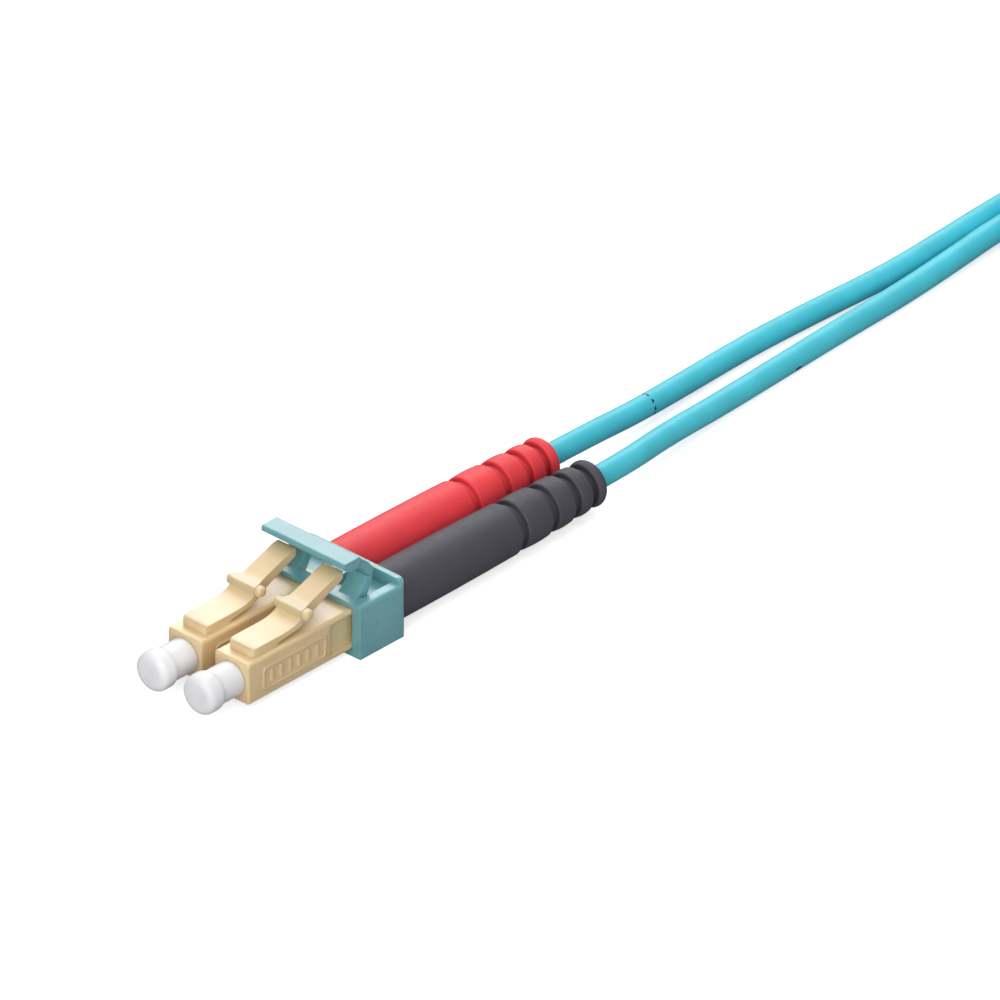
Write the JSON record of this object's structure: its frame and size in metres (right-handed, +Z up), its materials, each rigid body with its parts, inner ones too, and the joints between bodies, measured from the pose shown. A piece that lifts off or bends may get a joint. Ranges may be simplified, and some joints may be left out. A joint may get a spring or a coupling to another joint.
{
  "type": "fiber optic patch cord",
  "caption": "Duplex fibre optic patch cord: capped latching plugs in a clip with a shared trigger, bend relief boots, and paired round cords stored in a tied hank.",
  "frame": {"origin": "bottom centre of the near plug pair's box, with the clip's underside on Z = 0; the cords, hank, tie and far plugs are not counted", "axes": "+X from the plug noses towards the cords, along the plugs; +Z up, towards the latches; +Y towards cord A's side"},
  "size_m": [0.2707, 0.023, 0.016],
  "materials": {
    "cap_white": "soft translucent white",
    "ceramic": "polished white ceramic",
    "plated_brass": "nickel plated",
    "spring_steel": "bright wire",
    "plug_beige": "warm translucent moulded beige",
    "inner_plastic": "moulded",
    "aramid": "yellow yarn",
    "crimp_metal": "crimped",
    "fibre_buffer": "smooth coated fibre",
    "cord_jacket": "smooth semi matte jacket",
    "boot_red": "soft satin",
    "boot_charcoal": "soft satin",
    "clip_aqua": "moulded satin",
    "tie_fabric": "hook and loop strap"
  },
  "bodies": {
    "root": {"near_housing_a": "plug_beige", "near_rear_body_a": "inner_plastic", "near_aramid_yarn_a": "aramid", "near_crimp_ring_a": "crimp_metal", "near_buffered_fibre_a": "fibre_buffer", "near_jacket_end_a": "cord_jacket", "near_boot_a": "boot_red", "near_spring_a": "spring_steel", "near_housing_b": "plug_beige", "near_rear_body_b": "inner_plastic", "near_aramid_yarn_b": "aramid", "near_crimp_ring_b": "crimp_metal", "near_buffered_fibre_b": "fibre_buffer", "near_jacket_end_b": "cord_jacket", "near_boot_b": "boot_charcoal", "near_spring_b": "spring_steel", "near_clip_body": "clip_aqua", "far_housing_a": "plug_beige", "far_rear_body_a": "inner_plastic", "far_aramid_yarn_a": "aramid", "far_crimp_ring_a": "crimp_metal", "far_buffered_fibre_a": "fibre_buffer", "far_jacket_end_a": "cord_jacket", "far_boot_a": "boot_red", "far_spring_a": "spring_steel", "far_housing_b": "plug_beige", "far_rear_body_b": "inner_plastic", "far_aramid_yarn_b": "aramid", "far_crimp_ring_b": "crimp_metal", "far_buffered_fibre_b": "fibre_buffer", "far_jacket_end_b": "cord_jacket", "far_boot_b": "boot_charcoal", "far_spring_b": "spring_steel", "far_clip_body": "clip_aqua", "cord_a_lead": "cord_jacket", "cord_b_lead": "cord_jacket", "cord_a_tail": "cord_jacket", "cord_b_tail": "cord_jacket", "hank": "cord_jacket", "hank_tie": "tie_fabric"},
    "near_ferrule_a_body": {"near_ferrule_a": "ceramic", "near_ferrule_holder_a": "plated_brass"},
    "near_cap_a_body": {"near_dust_cap_a": "cap_white"},
    "near_latch_a_body": {"near_latch_a": "plug_beige"},
    "near_ferrule_b_body": {"near_ferrule_b": "ceramic", "near_ferrule_holder_b": "plated_brass"},
    "near_cap_b_body": {"near_dust_cap_b": "cap_white"},
    "near_latch_b_body": {"near_latch_b": "plug_beige"},
    "near_trigger_body": {"near_clip_trigger": "clip_aqua"},
    "far_ferrule_a_body": {"far_ferrule_a": "ceramic", "far_ferrule_holder_a": "plated_brass"},
    "far_cap_a_body": {"far_dust_cap_a": "cap_white"},
    "far_latch_a_body": {"far_latch_a": "plug_beige"},
    "far_ferrule_b_body": {"far_ferrule_b": "ceramic", "far_ferrule_holder_b": "plated_brass"},
    "far_cap_b_body": {"far_dust_cap_b": "cap_white"},
    "far_latch_b_body": {"far_latch_b": "plug_beige"},
    "far_trigger_body": {"far_clip_trigger": "clip_aqua"}
  },
  "joints": [
    {"name": "near_cap_a_pull", "type": "slide", "parent": "root", "child": "near_cap_a_body", "axis": [-1, 0, 0], "range_m": [0, 0.012]},
    {"name": "near_ferrule_a_float", "type": "slide", "parent": "root", "child": "near_ferrule_a_body", "axis": [1, 0, 0], "range_m": [0, 0.001], "stiffness_N_per_m": 500, "springref_m": -0.001, "deforming": ["near_spring_a"]},
    {"name": "near_latch_a_flex", "type": "hinge", "parent": "root", "child": "near_latch_a_body", "pos_m": [-0.01787, 0.00313, 0.00571], "axis": [0, 1, 0], "range_deg": [0, 6.6]},
    {"name": "near_cap_b_pull", "type": "slide", "parent": "root", "child": "near_cap_b_body", "axis": [-1, 0, 0], "range_m": [0, 0.012]},
    {"name": "near_ferrule_b_float", "type": "slide", "parent": "root", "child": "near_ferrule_b_body", "axis": [1, 0, 0], "range_m": [0, 0.001], "stiffness_N_per_m": 500, "springref_m": -0.001, "deforming": ["near_spring_b"]},
    {"name": "near_latch_b_flex", "type": "hinge", "parent": "root", "child": "near_latch_b_body", "pos_m": [-0.01787, -0.00313, 0.00571], "axis": [0, 1, 0], "range_deg": [0, 6.6]},
    {"name": "near_trigger_press", "type": "hinge", "parent": "root", "child": "near_trigger_body", "pos_m": [-0.00553, 0, 0.00826], "axis": [0, -1, 0], "range_deg": [0, 22], "stiffness_Nm_per_rad": 0.00025, "springref_deg": -11.46},
    {"name": "far_cap_a_pull", "type": "slide", "parent": "root", "child": "far_cap_a_body", "axis": [1, 0, 0], "range_m": [0, 0.012]},
    {"name": "far_ferrule_a_float", "type": "slide", "parent": "root", "child": "far_ferrule_a_body", "axis": [-1, 0, 0], "range_m": [0, 0.001], "stiffness_N_per_m": 500, "springref_m": -0.001, "deforming": ["far_spring_a"]},
    {"name": "far_latch_a_flex", "type": "hinge", "parent": "root", "child": "far_latch_a_body", "pos_m": [0.2331, 0.00313, 0.00571], "axis": [0, -1, 0], "range_deg": [0, 6.6]},
    {"name": "far_cap_b_pull", "type": "slide", "parent": "root", "child": "far_cap_b_body", "axis": [1, 0, 0], "range_m": [0, 0.012]},
    {"name": "far_ferrule_b_float", "type": "slide", "parent": "root", "child": "far_ferrule_b_body", "axis": [-1, 0, 0], "range_m": [0, 0.001], "stiffness_N_per_m": 500, "springref_m": -0.001, "deforming": ["far_spring_b"]},
    {"name": "far_latch_b_flex", "type": "hinge", "parent": "root", "child": "far_latch_b_body", "pos_m": [0.2331, -0.00313, 0.00571], "axis": [0, -1, 0], "range_deg": [0, 6.6]},
    {"name": "far_trigger_press", "type": "hinge", "parent": "root", "child": "far_trigger_body", "pos_m": [0.22075, 0, 0.00826], "axis": [0, 1, 0], "range_deg": [0, 22], "stiffness_Nm_per_rad": 0.00025, "springref_deg": -11.46}
  ],
  "couplings": [
    {"joint": "near_latch_a_flex", "follows": "near_trigger_press", "ratio": 0.3},
    {"joint": "near_latch_b_flex", "follows": "near_trigger_press", "ratio": 0.3},
    {"joint": "far_latch_a_flex", "follows": "far_trigger_press", "ratio": 0.3},
    {"joint": "far_latch_b_flex", "follows": "far_trigger_press", "ratio": 0.3}
  ]
}
